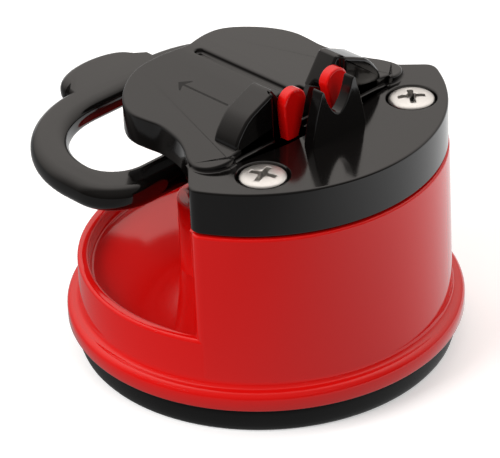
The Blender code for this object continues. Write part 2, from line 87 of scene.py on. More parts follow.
TOWER_ROUND = 4.5
TOWER_TOP = 26.2
GATE_HALF = 14.4
BOSS_R = 3.9
BOSS_HOLE_R = 2.2

COVER_BOTTOM = 38.3
COVER_TOP = 42.33
COVER_R = cover_high.x / MM - AXIS_X
SKIRT_BOTTOM = cover_low.z / MM
RIDGE = 4.2
SLOPE = 0.16
HORN_BACK = 6.4
HORN_FRONT = 11.5
GUIDE_BACK = 15.8
GUIDE_FRONT = 17.8
SLOT_BACK = 7.9
SLOT_FRONT = 10.6
SLOT_HALF = 4.3
POCKET_BACK = 10.5
POCKET_FRONT = 13.3
POCKET_NEAR = 1.9
POCKET_FAR = 7.7
GROOVE_BACK = -13.9
GROOVE_HALF = 0.75
ARROW_MIDDLE = 8.3
SCREW_AT = [(24.0 * math.cos(math.radians(a)), 24.0 * math.sin(math.radians(a))) for a in (-43, 43)]
SCREW_HEAD_R = 3.7
PIN_Z = 31.5
PIN_BORE_R = 1.65
LEVER_BOTTOM = 30.1
LEVER_TOP = lever_high.z / MM
CUT_LOW = 30                                        # heights a cutter runs between
CUT_HIGH = 60
FINE_STEPS = 192                                    # sides of the widest turned pieces


# ------------------------------------------------------------------ mesh helpers

def add_object(name, mesh):
    obj = bpy.data.objects.new(name, mesh)
    bpy.context.scene.collection.objects.link(obj)
    return obj


def prism(name, outline, low, high, plane=PLAN, taper=0.0):
    """A closed prism over an outline, its top face inset towards the origin by taper."""
    shape = bmesh.new()
    lower = [shape.verts.new((x * MM, y * MM, low * MM)) for x, y in outline]
    scale = 1.0 - taper
    upper = [shape.verts.new((x * MM * scale, y * MM * scale, high * MM)) for x, y in outline]
    shape.faces.new(lower[::-1])
    shape.faces.new(upper)
    count = len(outline)
    for i in range(count):
        j = (i + 1) % count
        shape.faces.new((lower[i], lower[j], upper[j], upper[i]))
    bmesh.ops.recalc_face_normals(shape, faces=shape.faces)
    mesh = bpy.data.meshes.new(name)
    shape.to_mesh(mesh)
    shape.free()
    mesh.transform(plane)
    if plane.determinant() < 0:
        mesh.flip_normals()
    return add_object(name, mesh)


def block(name, low, high):
    outline = [(low[0], low[1]), (high[0], low[1]), (high[0], high[1]), (low[0], high[1])]
    return prism(name, outline, low[2], high[2])


def turned(name, profile, steps=144, centre=(0, 0)):
    """A closed profile of (radius, height), turned about the vertical through centre."""
    shape = bmesh.new()
    rings = []
    for radius, height in profile:
        if radius < 1e-6:
            rings.append([shape.verts.new((centre[0] * MM, centre[1] * MM, height * MM))])
            continue
        ring = []
        for k in range(steps):
            angle = math.tau * k / steps
            ring.append(shape.verts.new(((centre[0] + radius * math.cos(angle)) * MM,
                                         (centre[1] + radius * math.sin(angle)) * MM,
                                         height * MM)))
        rings.append(ring)
    pairs = list(zip(rings, rings[1:]))
    if len(rings[0]) > 1 and len(rings[-1]) > 1:
        pairs.append((rings[-1], rings[0]))
    for first, second in pairs:
        for k in range(steps):
            j = (k + 1) % steps
            if len(first) == 1 and len(second) == 1:
                continue
            if len(first) == 1:
                shape.faces.new((first[0], second[k], second[j]))
            elif len(second) == 1:
                shape.faces.new((first[k], second[0], first[j]))
            else:
                shape.faces.new((first[k], second[k], second[j], first[j]))
    bmesh.ops.recalc_face_normals(shape, faces=shape.faces)
    mesh = bpy.data.meshes.new(name)
    shape.to_mesh(mesh)
    shape.free()
    return add_object(name, mesh)


def drum(name, radius, low, high, steps=48, centre=(0, 0)):
    return turned(name, [(0, high), (radius, high), (radius, low), (0, low)], steps, centre)


def bake(obj):
    """Applies the modifiers, so that what is left is a plain mesh."""
    bpy.context.view_layer.update()
    evaluated = obj.evaluated_get(bpy.context.evaluated_depsgraph_get())
    mesh = bpy.data.meshes.new_from_object(evaluated)
    old = obj.data
    obj.modifiers.clear()
    obj.data = mesh
    mesh.name = obj.name
    if old.users == 0:
        bpy.data.meshes.remove(old)
    return obj


def combine(target, operation, *others):
    for other in others:
        modifier = target.modifiers.new(operation, "BOOLEAN")
        modifier.operation = operation
        modifier.object = other
        modifier.solver = "EXACT"
        bake(target)
        mesh = other.data
        bpy.data.objects.remove(other, do_unlink=True)
        bpy.data.meshes.remove(mesh)
    return target


def cut(target, *others):
    return combine(target, "DIFFERENCE", *others)


def join(target, *others):
    return combine(target, "UNION", *others)


def keep_inside(target, other):
    return combine(target, "INTERSECT", other)


def tidy_mesh(obj, merge=0.008, flat=0.6):
    """Welds near points and dissolves the lines that cross flat faces."""
    shape = bmesh.new()
    shape.from_mesh(obj.data)
    bmesh.ops.remove_doubles(shape, verts=shape.verts, dist=merge * MM)
    bmesh.ops.dissolve_limit(shape, angle_limit=math.radians(flat), verts=shape.verts,
                             edges=shape.edges)
    bmesh.ops.recalc_face_normals(shape, faces=shape.faces)
    shape.to_mesh(obj.data)
    shape.free()


def soften(obj, width, segments=3, angle=32, weighted=True):
    """Rounds the edges and leaves flat faces shading flat."""
    bevel = obj.modifiers.new("Round", "BEVEL")
    bevel.width = width * MM
    bevel.segments = segments
    bevel.limit_method = "ANGLE"
    bevel.angle_limit = math.radians(angle)
    bevel.use_clamp_overlap = False
    bevel.miter_outer = "MITER_ARC"
    bake(obj)
    settle(obj, weighted)
    return obj


def settle(obj, weighted=True):
    """Smooth shading that keeps flat faces flat and edges over 50 degrees sharp."""
    obj.data.shade_smooth()
    if weighted:
        normals = obj.modifiers.new("Normals", "WEIGHTED_NORMAL")
        normals.keep_sharp = True
        normals.weight = 60
    obj.data.set_sharp_from_angle(angle=math.radians(50))


def arc_points(centre, radius, start, end, count):
    points = []
    for step in range(count + 1):
        angle = math.radians(start + (end - start) * step / count)
        points.append((centre[0] + radius * math.cos(angle), centre[1] + radius * math.sin(angle)))
    return points


def rounded(corners, segments=8):
    """A polygon of (x, y, radius) corners with each corner turned into an arc."""
    outline = []
    count = len(corners)
    for index, (x, y, radius) in enumerate(corners):
        if radius <= 0:
            outline.append((x, y))
            continue
        here = Vector((x, y))
        before = (Vector(corners[index - 1][:2]) - here).normalized()
        after = (Vector(corners[(index + 1) % count][:2]) - here).normalized()
        half = before.angle(after) / 2
        reach = radius / math.tan(half)
        middle = here + (before + after).normalized() * (radius / math.sin(half))
        start = here + before * reach - middle
        end = here + after * reach - middle
        sweep = start.angle_signed(end)
        for step in range(segments + 1):
            turn = Matrix.Rotation(-sweep * step / segments, 2)
            outline.append(tuple(middle + turn @ start))
    return outline


def smooth_closed(points, per_span=6):
    """A closed Catmull-Rom curve through the points."""
    result = []
    count = len(points)
    for i in range(count):
        p0, p1, p2, p3 = (Vector(points[(i + k - 1) % count]) for k in range(4))
        for step in range(per_span):
            t = step / per_span
            value = 0.5 * ((2 * p1) + (p2 - p0) * t + (2 * p0 - 5 * p1 + 4 * p2 - p3) * t * t
                           + (3 * p1 - p0 - 3 * p2 + p3) * t ** 3)
            result.append((value.x, value.y))
    return result


def mirrored(half):
    return half + [(x, -y) for x, y in reversed(half) if abs(y) > 1e-9]


def mirrored_corners(half):
    return half + [(x, -y, r) for x, y, r in reversed(half) if abs(y) > 1e-9]


def wall_x(y, distance):
    return (-distance - y * math.sin(WALL_ANGLE)) / math.cos(WALL_ANGLE)


def d_plan(radius, distance, half, corner, steps=120):
    """A disc cut off by the two slanted walls, its two outer corners rounded."""
    # where the slanted line meets the circle
    low, high = -radius, -half
    for _ in range(60):
        middle = (low + high) / 2
        if wall_x(middle, distance) ** 2 + middle * middle > radius * radius:
            low = middle
        else:
            high = middle
    y_corner = high
    x_corner = wall_x(y_corner, distance)
    angle = math.degrees(math.atan2(y_corner, x_corner))
    # round the corner: stop short on both sides and join with a quadratic curve
    turn = math.degrees(corner / radius)
    along = Vector((wall_x(-half, distance) - x_corner, -half - y_corner)).normalized()
    tip = Vector((x_corner, y_corner))
    first = tip + along * corner
    last = Vector((radius * math.cos(math.radians(angle + turn)),
                   radius * math.sin(math.radians(angle + turn))))
    outline = [(wall_x(-half, distance), -half)]
    for step in range(7):
        t = step / 6
        point = first * (1 - t) ** 2 + tip * 2 * t * (1 - t) + last * t * t
        outline.append(tuple(point))
    start, end = angle + turn, -(angle + turn)
    for step in range(1, steps):
        a = math.radians(start + (end - start) * step / steps)
        outline.append((radius * math.cos(a), radius * math.sin(a)))
    for x, y in reversed(outline[:8]):
        outline.append((x, -y))
    return outline


# ------------------------------------------------------------------ materials

FLOW_SCALE = 60.0                                   # wide, slow unevenness of a moulding
GRAIN_SCALE = 4200.0                                # fine grain of its skin


def node(tree, kind, **values):
    made = tree.nodes.new(kind)
    for key, value in values.items():
        if key in made.inputs:
            made.inputs[key].default_value = value
        else:
            setattr(made, key, value)
    return made


def finish_material(name, color, roughness, metallic=0.0, grain_depth=0.03, flow_depth=0.05,
                    mottle=0.08, rough_spread=0.06, stretch=(1, 1, 1), specular=0.5):
    """Colour, roughness and relief that all vary a little with place, in the object's own space."""
    material = bpy.data.materials.new(name)
    material.use_nodes = True
    tree = material.node_tree
    link = tree.links.new
    shader = tree.nodes["Principled BSDF"]
    place = node(tree, "ShaderNodeTexCoord")
    mapping = node(tree, "ShaderNodeMapping")
    mapping.inputs["Scale"].default_value = stretch
    link(place.outputs["Object"], mapping.inputs["Vector"])
    wide = node(tree, "ShaderNodeTexNoise", Scale=FLOW_SCALE, Detail=3.0, Roughness=0.5)
    fine = node(tree, "ShaderNodeTexNoise", Scale=GRAIN_SCALE, Detail=2.0, Roughness=0.6)
    link(mapping.outputs["Vector"], wide.inputs["Vector"])
    link(mapping.outputs["Vector"], fine.inputs["Vector"])
    mix = node(tree, "ShaderNodeMix", data_type="RGBA")
    mix.inputs["A"].default_value = (*[c * (1 - mottle) for c in color], 1)
    mix.inputs["B"].default_value = (*[min(1, c * (1 + mottle)) for c in color], 1)
    link(wide.outputs["Fac"], mix.inputs["Factor"])
    link(mix.outputs["Result"], shader.inputs["Base Color"])
    spread = node(tree, "ShaderNodeMapRange")
    spread.inputs["From Min"].default_value = 0.3
    spread.inputs["From Max"].default_value = 0.7
    spread.inputs["To Min"].default_value = max(0.02, roughness - rough_spread)
    spread.inputs["To Max"].default_value = roughness + rough_spread
    link(fine.outputs["Fac"], spread.inputs["Value"])
    link(spread.outputs["Result"], shader.inputs["Roughness"])
    shader.inputs["Metallic"].default_value = metallic
    shader.inputs["Specular IOR Level"].default_value = specular
    coarse = node(tree, "ShaderNodeBump", Strength=flow_depth, Distance=0.0004)
    link(wide.outputs["Fac"], coarse.inputs["Height"])
    small = node(tree, "ShaderNodeBump", Strength=grain_depth, Distance=0.00005)
    link(fine.outputs["Fac"], small.inputs["Height"])
    link(coarse.outputs["Normal"], small.inputs["Normal"])
    link(small.outputs["Normal"], shader.inputs["Normal"])
    return material


RED = finish_material("red_moulding", (0.62, 0.004, 0.003), 0.07, mottle=0.03,
                      grain_depth=0.02, flow_depth=0.03, rough_spread=0.02)
BLACK = finish_material("black_moulding", (0.0026, 0.0022, 0.0021), 0.11, mottle=0.15,
                        grain_depth=0.03, flow_depth=0.03, rough_spread=0.03)
BLACK_LEVER = finish_material("black_lever_moulding", (0.0024, 0.0020, 0.0018), 0.10,
                              mottle=0.15, grain_depth=0.03, flow_depth=0.04, rough_spread=0.03)
BLACK_INNER = finish_material("black_inner_moulding", (0.03, 0.03, 0.03), 0.45, mottle=0.2)
# painted shade: a dark, dull finish on the arrow sheet that stands in for the shade inside the
# arrow's engraved groove
ARROW_GROOVE_SHADE = finish_material("painted_groove_shade", (0.005, 0.005, 0.005), 0.45, mottle=0.3,
                           specular=0.25)
RUBBER = finish_material("cup_rubber", (0.004, 0.004, 0.004), 0.42, mottle=0.3, grain_depth=0.3,
                         flow_depth=0.1, rough_spread=0.08, specular=0.22)
ZINC = finish_material("zinc_plate", (0.80, 0.79, 0.77), 0.42, metallic=1.0, mottle=0.08,
                       grain_depth=0.25, rough_spread=0.10)
STEEL = finish_material("drawn_steel", (0.62, 0.62, 0.61), 0.28, metallic=1.0, mottle=0.08,
                        grain_depth=0.3, stretch=(1, 1, 0.05), rough_spread=0.08)
SPRING = finish_material("spring_wire", (0.42, 0.41, 0.40), 0.3, metallic=1.0, mottle=0.12,
                         grain_depth=0.3)
CARBIDE = finish_material("ground_carbide", (0.13, 0.13, 0.135), 0.34, metallic=1.0, mottle=0.1,
                          grain_depth=0.4, stretch=(1, 0.1, 0.1), rough_spread=0.1)


def dress(obj, material, body, slot, *nodes):
    obj.data.transform(Matrix.Translation((AXIS_X * MM, 0, 0)))
    obj.data.materials.clear()
    obj.data.materials.append(material)
    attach(obj, body)
    if nodes:
        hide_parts(*nodes)
    return obj


# ------------------------------------------------------------------ housing

def make_housing():
    # the bowl is an open ring: the tower and the front block fill its middle
    profile = [(BOWL_HOLE_R, RECESS_FLOOR), (RIM_INNER_R - 0.7, RECESS_FLOOR),
               (RIM_INNER_R - 0.3, RECESS_FLOOR + 0.12), (RIM_INNER_R - 0.05, RECESS_FLOOR + 0.5),
               (RIM_INNER_R + 0.05, RIM_TOP - 0.6)]
    profile += arc_points((RIM_INNER_R + 0.65, RIM_TOP - 0.6), 0.6, 180, 90, 4)
    profile += arc_points((BODY_BOTTOM_R - 0.71, RIM_TOP - 0.6), 0.6, 90, 0, 4)
    profile += [(BODY_BOTTOM_R - 0.02, 9.2), (BODY_BOTTOM_R + 0.06, 8.7),
                (BODY_BOTTOM_R + 0.22, 8.3), (BODY_BOTTOM_R + 0.6, 8.05)]
    profile += arc_points((FLANGE_R - 1.25, 6.8), 1.25, 80, 0, 7)
    profile += [(FLANGE_R, FLANGE_BOTTOM + 0.35), (FLANGE_R - 0.15, FLANGE_BOTTOM + 0.08),
                (FLANGE_R - 0.4, FLANGE_BOTTOM), (FLANGE_R - 2.4, FLANGE_BOTTOM), (29.2, 6.8),
                (27.6, 9.6), (25.6, 10.7), (23.0, 11.0), (BOWL_HOLE_R, 11.0)]
    bowl = turned("red_housing", profile, FINE_STEPS)
    bowl.data.shade_smooth()
    bowl.data.set_sharp_from_angle(angle=math.radians(40))
    dress(bowl, RED, "housing", "red_plastic", "housing")

    body_plan = d_plan(BODY_BOTTOM_R + 0.02, WALL_DISTANCE, WALL_HALF, 1.3)
    front = prism("red_front_block", body_plan, 8.0, SHOULDER_Z, taper=BODY_TAPER)
    lip_plan = d_plan(28.2, WALL_DISTANCE, WALL_HALF, 0.4)
    join(front, prism("front_lip", lip_plan, 12.5, HOUSING_TOP))
    tower_plan = mirrored_corners([(TOWER_BACK, -TOWER_HALF, TOWER_ROUND),
                                   (TOWER_FRONT, -TOWER_HALF, 0)])
    join(front, prism("tower", rounded(tower_plan), 12.2, TOWER_TOP))
    cut(front, turned("underside", [(0, 4), (29.75, 4), (29.75, 7.2), (28.2, 10.2), (26.0, 11.4),
                                    (23.2, 11.7), (0, 11.7)], FINE_STEPS))
    room_plan = d_plan(ROOM_R, WALL_DISTANCE - WALL_THICK, WALL_HALF, 0.3)
    room = prism("room", room_plan, ROOM_FLOOR, 51)
    tower_block = mirrored([(TOWER_BACK, -TOWER_HALF), (TOWER_FRONT, -TOWER_HALF)])
    cut(room, prism("room_tower", tower_block, 10, CUT_HIGH))
    for index, place in enumerate(SCREW_AT):
        cut(room, drum("room_boss_%d" % index, BOSS_R, 3, 63, centre=place))
    cut(front, room)
    cut(front, block("gate", (-33, -GATE_HALF, TOWER_TOP), (TOWER_FRONT + 1, GATE_HALF, 52)))
    for index, place in enumerate(SCREW_AT):
        cut(front, drum("boss_hole_%d" % index, BOSS_HOLE_R, 23, 53, centre=place))
    tidy_mesh(front)
    soften(front, 0.45, 3)
    bake(front)
    # the stem's passage and the seat of the cam plate keep crisp edges
    cut(front, drum("tower_bore", 9.0, 5, 23.0, 64),
        drum("stem_hole", 3.6, 20, 30, 48),
        block("seat_pocket", (-8.6, -8.6, 24.0), (5.6, 8.6, 30)))
    settle(front)
    bake(front)
    dress(front, RED, "housing", "red_plastic")


# ------------------------------------------------------------------ cover, guard and horns

GUARD_HALF = [(-16.2, 0), (-16.9, -2.6), (-17.6, -5.0), (-18.1, -7.8), (-17.8, -10.4),
              (-16.6, -13.0), (-14.6, -15.6), (-12.0, -17.5), (-9.4, -18.3), (-6.6, -18.2),
              (-3.6, -17.9), (-0.6, -18.3), (2.0, -19.0), (4.4, -20.2), (6.4, -21.5),
              (8.6, -22.2), (10.4, -21.8), (11.7, -20.5), (12.4, -18.6),
              (12.2, -16.6), (11.6, -15.3)]


def guard_plan():
    loop = [p for p in smooth_closed(mirrored(GUARD_HALF), 4) if abs(p[1]) > 15.0 or p[0] < 0]
    edge = next(i for i, p in enumerate(loop) if p[1] > 15.0 and p[0] > 0)
    return loop[:edge] + [(HORN_FRONT, -14.9), (HORN_FRONT, 14.9)] + loop[edge:]


def slot_cutter():
    return block("blade_slot", (SLOT_BACK, -SLOT_HALF, CUT_LOW), (SLOT_FRONT, SLOT_HALF, CUT_HIGH))


def pocket_cutter(side):
    near, far = sorted((side * POCKET_NEAR, side * POCKET_FAR))
    return block("holder_pocket", (POCKET_BACK, near, CUT_LOW), (POCKET_FRONT, far, CUT_HIGH))


def make_cover():
    cover = prism("black_cover", d_plan(COVER_R, WALL_DISTANCE, 11.0, 1.6), SKIRT_BOTTOM, COVER_TOP)
    cut(cover, drum("skirt_hollow", 28.5, CUT_LOW, COVER_BOTTOM, 160))

    guard = prism("guard", guard_plan(), COVER_BOTTOM, COVER_TOP + 8)
    edge = COVER_TOP + RIDGE - SLOPE * 30
    roof = prism("roof", [(-30, COVER_BOTTOM - 1), (30, COVER_BOTTOM - 1), (30, edge),
                          (4, COVER_TOP + RIDGE - SLOPE * 4), (1.5, COVER_TOP + RIDGE - 0.36),
                          (0, COVER_TOP + RIDGE - 0.3), (-1.5, COVER_TOP + RIDGE - 0.36),
                          (-4, COVER_TOP + RIDGE - SLOPE * 4), (-30, edge)], -30, 30, ACROSS)
    keep_inside(guard, roof)
    cut(guard, prism("guard_hollow", [(x * 0.9, y * 0.9) for x, y in guard_plan()], CUT_LOW,
                     COVER_TOP - 1.6))
    join(cover, guard)
    groove = rounded([(GROOVE_BACK, -GROOVE_HALF, 0.7), (HORN_BACK + 1, -GROOVE_HALF, 0),
                      (HORN_BACK + 1, GROOVE_HALF, 0), (GROOVE_BACK, GROOVE_HALF, 0.7)], 4)
    cut(cover, prism("edge_groove", groove, COVER_TOP + RIDGE - 1.05, CUT_HIGH))
    # the channel between the horns that an edge is drawn through
    cut(cover, block("horn_channel", (HORN_BACK, -2.7, COVER_TOP + 1.2), (30, 2.7, CUT_HIGH)))
    cut(cover, slot_cutter())
    for side in (-1, 1):
        cut(cover, pocket_cutter(side))
    for place in SCREW_AT:
        cut(cover, turned("sink", [(0, 50), (SCREW_HEAD_R + 0.25, 50),
                                   (SCREW_HEAD_R + 0.25, COVER_TOP - 0.5),
                                   (BOSS_HOLE_R, COVER_TOP - 2.4), (BOSS_HOLE_R, CUT_LOW),
                                   (0, CUT_LOW)], 48, place))
    tidy_mesh(cover)
    soften(cover, 0.42, 3)
    bake(cover)
    dress(cover, BLACK, "housing", "black_plastic", "top_cover")
    # arrow that shows the pulling direction: a thin flat sheet on the sloping roof, painted dark
    # and dull for the shade inside an engraved groove
    points = [(1.8, -8.12), (-8.2, -8.12), (-7.5, -6.95), (-7.75, -6.85), (-9.4, -8.3),
              (-7.75, -9.75), (-7.5, -9.65), (-8.2, -8.48), (1.8, -8.48)]
    face = COVER_TOP + RIDGE - SLOPE * ARROW_MIDDLE + 0.015
    arrow = prism("pull_arrow", points, face - 0.4, face)
    for vertex in arrow.data.vertices:
        vertex.co.z -= SLOPE * (abs(vertex.co.y) - ARROW_MIDDLE * MM)
    dress(arrow, ARROW_GROOVE_SHADE, "housing", "black_plastic")

    base = COVER_BOTTOM + 1
    flank = [(16.0, base), (16.0, COVER_TOP + 1.3), (15.8, COVER_TOP + 2.2),
             (15.3, COVER_TOP + 3.3), (14.4, COVER_TOP + 4.5), (13.5, COVER_TOP + 5.5),
             (12.4, COVER_TOP + 6.3), (10.4, COVER_TOP + 7.2), (8.6, COVER_TOP + 7.95),
             (7.9, COVER_TOP + 8.2), (7.3, COVER_TOP + 8.25), (6.95, COVER_TOP + 8.1),
             (2.6, COVER_TOP + 2.1), (2.6, base)]
    for side, label in ((-1, "left"), (1, "right")):
        outline = [(side * y, z) for y, z in flank]
        horn = prism("horn_" + label, outline, HORN_BACK, HORN_FRONT, ACROSS)
        cut(horn, slot_cutter())
        cut(horn, pocket_cutter(side))
        tidy_mesh(horn)
        soften(horn, 0.5, 4)
        bake(horn)
        dress(horn, BLACK, "housing", "black_plastic")
    top = COVER_TOP + 9.0
    half = [(5.9, base), (5.8, COVER_TOP + 0.4), (5.4, COVER_TOP + 2.3), (5.1, COVER_TOP + 3.8),
            (4.75, COVER_TOP + 5.2), (4.4, COVER_TOP + 6.4), (3.95, top - 1.4), (3.65, top - 0.3),
            (3.35, top), (3.05, top - 0.4), (2.5, COVER_TOP + 6.9), (1.9, COVER_TOP + 5.7),
            (1.0, COVER_TOP + 4.5), (0.3, COVER_TOP + 4.0)]
    guide = prism("front_guide", half + [(-y, z) for y, z in reversed(half)], GUIDE_BACK,
                  GUIDE_FRONT, ACROSS)
    soften(guide, 0.16, 3)
    bake(guide)
    dress(guide, BLACK, "housing", "black_plastic")


# ------------------------------------------------------------------ cover screws

def make_screw(name, place, angle, cad_node):
    top = COVER_TOP + 0.12
    profile = [(0, top + 0.18), (1.4, top + 0.16), (2.6, top + 0.05), (3.3, top - 0.12),
               (SCREW_HEAD_R - 0.12, top - 0.3), (SCREW_HEAD_R, top - 0.5),
               (SCREW_HEAD_R - 0.1, top - 0.75), (1.9, top - 2.4), (1.9, 27.0), (1.2, 25.4),
               (0, 24.6)]
    screw = turned(name, profile, 64, place)
    for index in range(2):
        arm = prism("arm", [(-2.15, -0.42), (2.15, -0.42), (2.15, 0.42), (-2.15, 0.42)],
                    top - 1.3, top + 2)
        arm.data.transform(Matrix.Translation((place[0] * MM, place[1] * MM, 0))
                           @ Matrix.Rotation(math.radians(angle + 90 * index), 4, "Z"))
        cut(screw, arm)
    point = [(0, top + 2), (1.15, top + 2), (0.9, top - 1.4), (0, top - 1.9)]
    cut(screw, turned("driver_point", point, 4, place))
    tidy_mesh(screw, 0.004, 0.1)
    soften(screw, 0.1, 2, 40)
    bake(screw)
    dress(screw, ZINC, "housing", "zinc_plated_steel", cad_node)


# ------------------------------------------------------------------ blade holders

def make_holder(name, side, cad_node):
    low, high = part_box(cad_node)
    top = high.z / MM
    points = [(4.2, 39.0), (4.0, COVER_TOP), (3.3, COVER_TOP + 2.0), (2.8, COVER_TOP + 3.6)]
    points += arc_points((4.55, top - 2.35), 2.35, 178, 2, 18)
    points += [(6.8, COVER_TOP + 3.7), (6.6, COVER_TOP + 1.2), (6.4, COVER_TOP - 0.3),
               (6.4, 39.0)]
    outline = [(side * y, z) for y, z in points]
    back, front = low.x / MM - AXIS_X, high.x / MM - AXIS_X
    holder = prism(name, outline, back, front, ACROSS)
    foot_near, foot_far = sorted((side * 2.4, side * 7.2))
    join(holder, block("foot", (back, foot_near, low.z / MM),
                       (front, foot_far, low.z / MM + 1.2)))
    tidy_mesh(holder)
    soften(holder, 0.35, 4)
    bake(holder)
    dress(holder, RED, "housing", "red_plastic", cad_node)


# ------------------------------------------------------------------ lever

def ring_outer():
    half = []
    tab_reach = 6.4
    tab_half = 8.4
    for step in range(13):
        angle = math.radians(90 * step / 12)
        half.append((-36.0 - tab_reach * math.cos(angle) ** 0.7, -tab_half * math.sin(angle)))
    half += arc_points((-15.0, -7.6), 21.0, 180, 270, 28)
    half += arc_points((-11.8, -20.2), 8.4, 270, 360, 18)
    half += [(-3.4, -10.0), (-3.8, -8.6), (-3.8, 0)]
    return mirrored(half)


def ring_inner():
    return rounded(mirrored_corners([(-29.6, -22.5, 14.5), (-9.9, -22.5, 5.2)]), 16)


def make_lever():
    ring = prism("black_lever", ring_outer(), LEVER_BOTTOM, LEVER_TOP)
    cut(ring, prism("ring_hole", ring_inner(), 20, 50))
    tidy_mesh(ring)
    soften(ring, 2.0, 8, 40, weighted=False)
    # the cheek's round face stands off the pin, so that it presses down as the lever turns
    offset = 3.7
    angle = math.radians(167.5)
    centre = (offset * math.cos(angle), PIN_Z + offset * math.sin(angle))
    cheek = [p for p in arc_points(centre, 6.7, 165, 375, 60) if p[1] < LEVER_TOP - 0.6]
    cheek += [(cheek[-1][0], LEVER_TOP), (-8.2, LEVER_TOP)]
    for side, label in ((-1, "left"), (1, "right")):
        near, far = sorted((side * 3.4, side * 7.4))
        part = prism("cam_cheek_" + label, cheek, -far, -near, SIDEWAYS)
        bore = prism("bore", arc_points((0, PIN_Z), PIN_BORE_R, 0, 350, 35), -12, 12, SIDEWAYS)
        cut(part, bore)
        soften(part, 0.3, 2, 40)
        bake(part)
        dress(part, BLACK_LEVER, "lever", "black_lever_plastic")
    dress(ring, BLACK_LEVER, "lever", "black_lever_plastic", "lever")


# ------------------------------------------------------------------ suction cup

def make_cup():
    outer = cup_high.y / MM
    dome_r = 27.4
    dome_edge = 0.5
    dome_rise = 4.0
    profile = [(0, 8.3), (8.8, 8.3), (9.5, 7.9), (9.8, 7.4), (14.0, 6.6), (22.0, 5.4), (27.5, 4.6),
               (outer - 0.9, 4.6), (outer - 0.3, 4.45), (outer - 0.02, 4.0)]
    profile += [(outer, 3.2), (outer - 0.02, 2.2), (outer - 0.12, 1.3), (outer - 0.35, 0.6),
                (outer - 0.7, 0.15), (outer - 1.1, 0.0), (28.7, 0), (28.2, 0.1),
                (dome_r, dome_edge)]
    for step in range(1, 13):
        radius = dome_r * (1 - step / 12)
        profile.append((radius, dome_edge + dome_rise * (1 - (radius / dome_r) ** 1.6)))
    cup = turned("rubber_cup", profile, FINE_STEPS)
    cup.data.shade_smooth()
    cup.data.set_sharp_from_angle(angle=math.radians(60))
    cup.data.transform(Matrix.Translation((AXIS_X * MM, 0, 0)))
    cup.data.materials.append(RUBBER)
    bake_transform(cup)
    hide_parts("suction_cup")


# ------------------------------------------------------------------ return spring

def make_spring():
    """A coil with closed ends, set between the stem and the housing."""
    low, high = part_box("return_spring")
    wire = 0.45
    turns = 5
    per_turn = 36
    sides = 12
    closed = 0.8                                    # turns at each end that lie on the next coil
    radius = high.y / MM - wire
    first, last = low.z / MM + wire, high.z / MM - wire
    shape = bmesh.new()
    rings = []
    for index in range(turns * per_turn + 1):
        turn = index / per_turn
        share = min(max((turn - closed) / (turns - 2 * closed), 0), 1)
        height = first + (last - first) * share + 0.16 * (turn - turns * share)
        angle = math.tau * turn
        ring = []
        for side in range(sides):
            around_wire = math.tau * side / sides
            reach = radius + wire * math.cos(around_wire)
            ring.append(shape.verts.new((reach * math.cos(angle) * MM,
                                         reach * math.sin(angle) * MM,
                                         (height + wire * math.sin(around_wire)) * MM)))
        rings.append(ring)
    for before, after in zip(rings, rings[1:]):
        for side in range(sides):
            other = (side + 1) % sides
            shape.faces.new((before[side], after[side], after[other], before[other]))
    shape.faces.new(rings[0])
    shape.faces.new(rings[-1][::-1])
    bmesh.ops.recalc_face_normals(shape, faces=shape.faces)
    mesh = bpy.data.meshes.new("coil_spring")
    shape.to_mesh(mesh)
    shape.free()
    mesh.shade_smooth()
    mesh.set_sharp_from_angle(angle=math.radians(50))
    spring = add_object("coil_spring", mesh)
    mesh.transform(Matrix.Translation((AXIS_X * MM, 0, 0)))
    mesh.materials.append(SPRING)
    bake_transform(spring)
    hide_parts("return_spring")


make_housing()
make_cover()
make_screw("cover_screw_left_fine", SCREW_AT[0], 20, "cover_screw_left")
make_screw("cover_screw_right_fine", SCREW_AT[1], 52, "cover_screw_right")
make_holder("red_holder_left", -1, "blade_holder_left")
make_holder("red_holder_right", 1, "blade_holder_right")
make_lever()
make_cup()
make_spring()

CARRIED = {"carbide_blade_left": CARBIDE, "carbide_blade_right": CARBIDE,
           "blade_retainer": BLACK_INNER, "retainer_screw_left": ZINC,
           "retainer_screw_right": ZINC, "cam_plate": STEEL, "lever_pin": STEEL,
           "pin_clip": SPRING, "stem": STEEL, "cup_foot": ZINC, "spring_washer": ZINC}
for name, material in CARRIED.items():
    carried = frame["nodes"][name]
    carried.data.materials.clear()
    carried.data.materials.append(material)
    edges = carried.modifiers.new("Edges", "BEVEL")
    edges.width = 0.00012
    edges.segments = 2
    edges.limit_method = "ANGLE"
    edges.angle_limit = math.radians(40)


# ------------------------------------------------------------------ floor, light and camera

def area(name, location, target, size, power, color=(1, 1, 1), size_y=None):
    data = bpy.data.lights.new(name, "AREA")
    data.energy = power
    data.color = color
    data.shape = "RECTANGLE"
    data.size = size
    data.size_y = size_y or size
    lamp = bpy.data.objects.new(name, data)
    bpy.context.scene.collection.objects.link(lamp)
    lamp.location = location
    direction = Vector(target) - Vector(location)
    lamp.rotation_mode = "QUATERNION"
    lamp.rotation_quaternion = direction.to_track_quat("-Z", "Y")
    return lamp


FLOOR_HALF = 3.0
FLOOR_DROP = 0.00005                                # keeps the floor just under the cup's lip
floor_mesh = bpy.data.meshes.new("floor")
shape = bmesh.new()
bmesh.ops.create_grid(shape, x_segments=2, y_segments=2, size=FLOOR_HALF)
shape.to_mesh(floor_mesh)
shape.free()
floor = add_object("floor", floor_mesh)
floor.location = (0, 0, -FLOOR_DROP)
floor_material = bpy.data.materials.new("floor_pale")
floor_material.use_nodes = True
tree = floor_material.node_tree
tree.nodes.clear()
